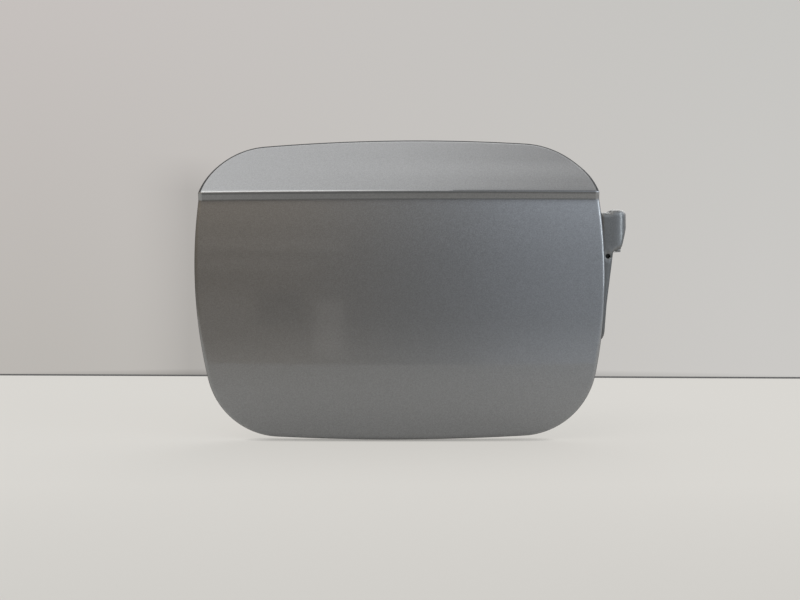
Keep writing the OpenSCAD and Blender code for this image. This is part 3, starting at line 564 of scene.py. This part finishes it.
def build_spring():
    line = spring_line()
    verts, faces = [], []
    for i, point in enumerate(line):
        d = unit(line[min(i + 1, len(line) - 1)] - line[max(i - 1, 0)])
        out = unit(np.cross(d, [0, 0, 1.0]))
        up = np.cross(out, d)
        for k in range(WIRE_SIDES):
            a = 2 * math.pi * k / WIRE_SIDES
            verts.append(point + WIRE_R * (math.cos(a) * out + math.sin(a) * up))
    for i in range(len(line) - 1):
        for k in range(WIRE_SIDES):
            a, b = i * WIRE_SIDES + k, i * WIRE_SIDES + (k + 1) % WIRE_SIDES
            faces.append((a, a + WIRE_SIDES, b + WIRE_SIDES, b))
    faces.append(tuple(range(WIRE_SIDES)))
    faces.append(tuple((len(line) - 1) * WIRE_SIDES + k for k in reversed(range(WIRE_SIDES))))
    return new_object("spring_wire", np.array(verts) + PIN, faces)


spring = build_spring()
spring.data.materials.append(steel)
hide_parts("torsion_spring")
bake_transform(spring)

# Stage: pale floor that ends at a dark joint below the wall
FLOOR_LEFT, FLOOR_RIGHT, FLOOR_FRONT, FLOOR_FAR = -900, 700, -330, 336
# How much nearer the floor's far side lies for each mm to the right
FAR_TURN = -0.049
FLOOR_T, FLOOR_GAP = 12, 0.2
JOINT_W, JOINT_H = 1, 1.3
# Colour of the floor under light, its plain tone to the camera, and how much of the look that is
FLOOR_COLOR, FLOOR_TONE, PLAIN_SHARE = (0.585, 0.575, 0.55), (0.64, 0.622, 0.587), 0.8
# How much of that plain tone reflections show
GLOSSY_SHARE = 0.25
# Reach in m of the shade where something touches the floor
CONTACT = 0.005
# Painted shade: the plain tone sinks to this share over this stretch of Y in m, towards the front
FRONT_SHARE, FRONT_FROM, FRONT_TO = 0.86, -0.13, -0.25


def plate(name, y0, y1, z0, z1, mat):
    """Box across the stage, with its far corners slanted."""
    def far(x, y):
        return y + FAR_TURN * (x - FLOOR_LEFT) * (y > 0)
    v = [(x, far(x, y), z) for z in (z0, z1) for y in (y0, y1) for x in (FLOOR_LEFT, FLOOR_RIGHT)]
    f = [(0, 2, 3, 1), (4, 5, 7, 6), (0, 1, 5, 4), (2, 6, 7, 3), (0, 4, 6, 2), (1, 3, 7, 5)]
    ob = new_object(name, v, f, smooth=False)
    ob.data.materials.append(mat)


def floor_finish():
    """Matt floor that is mostly its plain tone to the camera, and otherwise lit and shaded."""
    mat, tree, shader = material("Floor")
    feed(tree, shader, {"Base Color": FLOOR_COLOR, "Roughness": 0.85, "Specular IOR Level": 0.2})
    tone = put(tree, "AmbientOcclusion", {"Distance": CONTACT, "Color": FLOOR_TONE}, samples=8)
    spot = put(tree, "TexCoord").outputs["Object"]
    y = put(tree, "SeparateXYZ", {"Vector": spot}).outputs["Y"]
    strength = put(tree, "MapRange", {
        "Value": y, "From Min": FRONT_TO, "From Max": FRONT_FROM, "To Min": FRONT_SHARE, "To Max": 1.0,
    })
    glow = put(tree, "Emission", {
        "Color": tone.outputs["Color"], "Strength": strength.outputs["Result"],
    })
    ray = put(tree, "LightPath")
    seen = put(tree, "Math", {
        0: ray.outputs["Is Glossy Ray"], 1: GLOSSY_SHARE, 2: ray.outputs["Is Camera Ray"],
    }, operation="MULTIPLY_ADD")
    share = put(tree, "Math", {0: seen.outputs["Value"], 1: PLAIN_SHARE}, operation="MULTIPLY")
    both = put(tree, "MixShader", {
        "Fac": share.outputs["Value"], 1: shader.outputs["BSDF"], 2: glow.outputs["Emission"],
    })
    feed(tree, tree.nodes["Material Output"], {"Surface": both.outputs["Shader"]})
    return mat


floor_z = DOOR[2] - BOTTOM - FLOOR_GAP
plate("Floor", FLOOR_FRONT, FLOOR_FAR, floor_z - FLOOR_T, floor_z, floor_finish())
plate("Joint", FLOOR_FAR, FLOOR_FAR + JOINT_W, floor_z - FLOOR_T, floor_z + JOINT_H,
      plain("Dark joint", grey(0.1), grey(0.12), 0.8))

# World: pale wall to the camera, a soft room round the object
world = bpy.data.worlds.new("Room")
bpy.context.scene.world = world
world.use_nodes = True
sky = world.node_tree
sky.nodes.clear()
split = put(sky, "SeparateXYZ", {"Vector": put(sky, "TexCoord").outputs["Generated"]})
X, Y, Z = (split.outputs[axis] for axis in "XYZ")
BLACK, WHITE = grey(0), grey(1)


def to_unit(source, lo, hi):
    """0 at lo and 1 at hi, held beyond them."""
    return put(sky, "MapRange", {"Value": source, "From Min": lo, "From Max": hi}).outputs["Result"]


def maths(op, a, b):
    return put(sky, "Math", {0: a, 1: b}, operation=op).outputs["Value"]


def product(*values):
    total = values[0]
    for value in values[1:]:
        total = maths("MULTIPLY", total, value)
    return total


def mixed(share, a, b, kind="MIX"):
    """Colour between a and b, or their sum or product where the share is 1."""
    return put(sky, "Mix", {6: a, 7: b, "Factor": share}, data_type="RGBA", blend_type=kind).outputs[2]


def height(deg):
    """Place on the ramp of heights for an angle above the horizon."""
    return (math.sin(math.radians(deg)) + 1) / 2


# Light by height, as angles above the horizon: floor, dark far side of the room, bright ceiling
LEVELS = [
    (-90, 0.8), (-40, 0.8), (-15, 0.75), (-7, 0.46), (-1, 0.13), (8, 0.19), (15, 0.45), (30, 0.85),
    (55, 1.35), (90, 1.35),
]
levels = ramp(sky, to_unit(Z, -1, 1), [(height(deg), grey(tone)) for deg, tone in LEVELS])
# The ceiling is brighter to the left, the room warmer there and brighter and cooler to the right
across = to_unit(X, -1, 1)
low_tint = ramp(sky, across, [
    (0.0, (1.27, 1.04, 0.78)), (0.4, (1.25, 1.06, 0.85)), (0.5, (1.0, 0.99, 0.96)),
    (0.56, (1.15, 1.2, 1.27)), (0.61, (1.9, 2.05, 2.3)), (0.68, (2.6, 2.85, 3.2)), (1.0, (2.6, 2.85, 3.2)),
])
top_tint = ramp(sky, across, [
    (0.0, grey(1.5)), (0.36, grey(1.15)), (0.5, grey(0.95)), (0.64, grey(0.5)), (1.0, grey(0.5)),
])
# Those low tints hold in front of the door, and a plain grey behind it
side_tint = mixed(to_unit(Y, 0.35, 0.05), grey(0.7), low_tint)
room = mixed(1, levels, mixed(to_unit(Z, 0.35, 0.8), side_tint, top_tint), "MULTIPLY")


def patch(x0, x1, z0, z1, soft):
    """Soft rectangle of directions in front of the door."""
    return product(to_unit(X, x0 - soft, x0 + soft), to_unit(X, x1 + soft, x1 - soft),
                   to_unit(Z, z0 - soft, z0 + soft), to_unit(Z, z1 + soft, z1 - soft), to_unit(Y, 0.0, -0.2))


# Things in the room that the clear coat shows: lit patches and shelves, and a dark case.
# Each is x from and to, z from and to, softness of its border, and strength.
LIT = [
    (-0.165, -0.11, -0.09, 0.03, 0.012, 0.45), (-0.45, -0.10, 0.14, 0.165, 0.006, 0.22),
    (-0.45, -0.16, 0.095, 0.12, 0.006, 0.16), (-0.45, -0.275, -0.03, 0.05, 0.02, 0.2),
    (-0.23, -0.05, -0.28, -0.14, 0.03, 0.3), (0.10, 0.26, -0.28, -0.16, 0.03, 0.3),
]
CASE = (-0.275, -0.19, -0.02, 0.05, 0.006, 0.8)
LIT_COLOR = (1, 0.97, 0.93)
lit, *others = (product(patch(*borders), strength) for *borders, strength in LIT)
for other in others:
    lit = maths("ADD", lit, other)
kept = maths("SUBTRACT", 1.0, product(patch(*CASE[:5]), CASE[5]))
room = mixed(1, room, mixed(kept, BLACK, WHITE), "MULTIPLY")
room = mixed(1, room, mixed(lit, BLACK, LIT_COLOR), "ADD")
# This much more light from behind, where the rolled edges reflect it
BEHIND = 2.8
gain = maths("ADD", 1.0, product(to_unit(Y, 0.15, 0.4), to_unit(X, -0.25, 0.1), BEHIND))
bg_room = put(sky, "Background", {"Color": room, "Strength": gain})

# Tone of the wall that the camera sees: by side, then by height; these changes are painted light and shade
side = to_unit(X, -0.42, 0.42)
low_wall = mixed(side, (0.49, 0.468, 0.44), (0.597, 0.584, 0.564))
high_wall = mixed(side, (0.565, 0.533, 0.515), (0.567, 0.56, 0.54))
wall = mixed(to_unit(Z, -0.08, 0.36), low_wall, high_wall)
# Soft shade on the wall to the left of the door
SHADE = 0.84
rising = to_unit(X, -0.341, -0.262)
shade = product(rising, rising, to_unit(X, -0.2, -0.25), to_unit(Z, 0.195, 0.15), to_unit(Z, -0.1, -0.085),
                to_unit(Y, 0.85, 0.93))
wall = mixed(1, wall, mixed(shade, WHITE, grey(SHADE)), "MULTIPLY")
# Painted shade: the wall darkens just above the joint, which lies a little higher on the left
SLOPE, DARK_LEFT, DARK_RIGHT = 0.0028, 0.68, 0.8
above = maths("ADD", Z, product(maths("SUBTRACT", side, 1.0), SLOPE))
elsewhere = maths("MAXIMUM", to_unit(Y, 0.85, 0.8), to_unit(Z, -0.085, -0.1))
clear = maths("MAXIMUM", to_unit(above, -0.079, -0.0705), elsewhere)
painted_low_shade = mixed(1, wall, mixed(side, grey(DARK_LEFT), grey(DARK_RIGHT)), "MULTIPLY")
bg_wall = put(sky, "Background", {"Color": mixed(clear, painted_low_shade, wall)})

both = put(sky, "MixShader", {
    "Fac": put(sky, "LightPath").outputs["Is Camera Ray"],
    1: bg_room.outputs["Background"], 2: bg_wall.outputs["Background"],
})
put(sky, "OutputWorld", {"Surface": both.outputs["Shader"]})


# Lamps, aimed at the door
def lamp(name, place, size, power, color):
    light = bpy.data.lights.new(name, "AREA")
    light.shape = "RECTANGLE"
    light.size, light.size_y = size
    light.energy = power
    light.color = color
    ob = bpy.data.objects.new(name, light)
    bpy.context.scene.collection.objects.link(ob)
    here, there = np.array(place, float) * MM, DOOR * MM
    ob.location = tuple(here)
    ob.rotation_euler = Vector(tuple(there - here)).to_track_quat("-Z", "Y").to_euler()


lamp("Ceiling", (-700, -900, 1500), (1.2, 0.8), 7, (1.0, 0.99, 0.97))
lamp("Window", (1360, -700, 400), (0.26, 0.75), 4, (0.86, 0.93, 1.0))

# Camera: the photo's width and focal length in pixels, sensor in mm, place and aim in m
PHOTO_W, FOCAL, SENSOR = 800, 776, 36
EYE = Vector((-0.1033, -0.382, -0.0372))
AIM = Vector((-0.1033, -0.042, -0.0313))
cam = bpy.data.cameras.new("Camera")
cam.sensor_width = SENSOR
cam.lens = FOCAL / PHOTO_W * SENSOR
cam.clip_start = 0.01
cam_ob = bpy.data.objects.new("Camera", cam)
bpy.context.scene.collection.objects.link(cam_ob)
cam_ob.location = EYE
cam_ob.rotation_euler = (AIM - EYE).to_track_quat("-Z", "Y").to_euler()
bpy.context.scene.camera = cam_ob
bpy.context.scene.view_settings.view_transform = "Standard"
